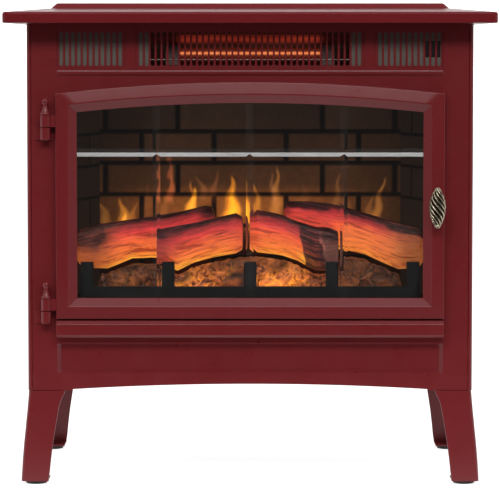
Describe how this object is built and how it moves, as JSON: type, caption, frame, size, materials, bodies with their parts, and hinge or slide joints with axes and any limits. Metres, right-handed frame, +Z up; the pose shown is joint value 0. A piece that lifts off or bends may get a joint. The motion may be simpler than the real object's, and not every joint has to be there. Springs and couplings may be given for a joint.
{
  "type": "electric fireplace",
  "caption": "Stove-style electric fireplace: painted steel cabinet on flared legs, overhanging top, arched glass door that swings, log set, flame projector, quartz heater and blower.",
  "frame": {"origin": "floor level under the centre of the cabinet, at the centre of the bounding box's base", "axes": "+X to the viewer's right when facing the glass, +Y towards the rear panel, +Z up"},
  "size_m": [0.61, 0.332, 0.6025],
  "materials": {
    "red_paint": "satin cranberry-red powder coat",
    "black_paint": "matt black heat-resistant paint",
    "grey_paint": "matt dark grey coating",
    "zinc_plate": "zinc-plated steel",
    "bright_reflector": "polished sheet",
    "antique_silver": "antiqued silver-brass plating",
    "clear_glass": "clear tempered glass with bevelled grooves",
    "quartz_glass": "clear quartz, glowing",
    "hot_filament": "glowing resistance wire",
    "white_ceramic": "unglazed steatite",
    "brick_print": "brick-pattern screen lit from behind",
    "ember_resin": "translucent cast resin lit from below",
    "log_resin": "translucent cast resin lit from below",
    "foot_rubber": "moulded rubber",
    "circuit_laminate": "green circuit laminate",
    "black_plastic": "textured black plastic",
    "dark_lens": "smoked infrared lens"
  },
  "bodies": {
    "cabinet": {"mantel_top": "red_paint", "front_panel": "red_paint", "louvre_grille": "red_paint", "hearth_ledge": "red_paint", "side_panel_left": "red_paint", "side_panel_right": "red_paint", "leg_front_left": "red_paint", "leg_front_right": "red_paint", "leg_rear_left": "red_paint", "leg_rear_right": "red_paint", "hinge_socket_upper": "red_paint", "hinge_socket_lower": "red_paint", "hinge_pin_upper": "red_paint", "hinge_pin_lower": "red_paint", "rear_panel": "black_paint", "base_pan": "black_paint", "firebox_floor": "black_paint", "firebox_top": "black_paint", "firebox_wall_left": "black_paint", "firebox_wall_right": "black_paint", "grate": "black_paint", "louvre_backing": "grey_paint", "blower_motor": "grey_paint", "magnet_catch": "zinc_plate", "flame_motor": "zinc_plate", "heater_guard": "zinc_plate", "blower_housing": "zinc_plate", "heater_reflector": "bright_reflector", "quartz_tube": "quartz_glass", "heating_coil": "hot_filament", "tube_cap_left": "white_ceramic", "tube_cap_right": "white_ceramic", "firebox_back": "brick_print", "ember_bed": "ember_resin", "log_left": "log_resin", "log_centre_left": "log_resin", "log_centre_right": "log_resin", "log_right": "log_resin", "foot_pad_front_left": "foot_rubber", "foot_pad_front_right": "foot_rubber", "foot_pad_rear_left": "foot_rubber", "foot_pad_rear_right": "foot_rubber", "cord_gland": "foot_rubber", "led_board": "circuit_laminate", "control_board": "circuit_laminate", "control_panel": "black_plastic", "receiver_window": "dark_lens"},
    "door": {"door_frame": "red_paint", "door_glass": "clear_glass", "glass_retainer": "black_paint", "door_handle": "antique_silver", "strike_plate": "zinc_plate"},
    "flame_rotor": {"flame_rotor": "bright_reflector"},
    "blower_wheel": {"blower_wheel": "grey_paint"},
    "button_power": {"button_power": "black_plastic"},
    "button_heat": {"button_heat": "black_plastic"},
    "button_flame": {"button_flame": "black_plastic"}
  },
  "joints": [
    {"name": "door_hinge", "type": "hinge", "parent": "cabinet", "child": "door", "pos_m": [-0.2543, -0.1355, 0.342], "axis": [0, 0, -1], "range_deg": [0, 120]},
    {"name": "flame_rotor_spin", "type": "hinge", "parent": "cabinet", "child": "flame_rotor", "pos_m": [0, -0.01, 0.204], "axis": [1, 0, 0], "continuous": true},
    {"name": "blower_spin", "type": "hinge", "parent": "cabinet", "child": "blower_wheel", "pos_m": [0, 0.03, 0.541], "axis": [1, 0, 0], "continuous": true},
    {"name": "button_power_press", "type": "slide", "parent": "cabinet", "child": "button_power", "axis": [0, -1, 0], "range_m": [0, 0.0015], "stiffness_N_per_m": 300},
    {"name": "button_heat_press", "type": "slide", "parent": "cabinet", "child": "button_heat", "axis": [0, -1, 0], "range_m": [0, 0.0015], "stiffness_N_per_m": 300},
    {"name": "button_flame_press", "type": "slide", "parent": "cabinet", "child": "button_flame", "axis": [0, -1, 0], "range_m": [0, 0.0015], "stiffness_N_per_m": 300}
  ]
}
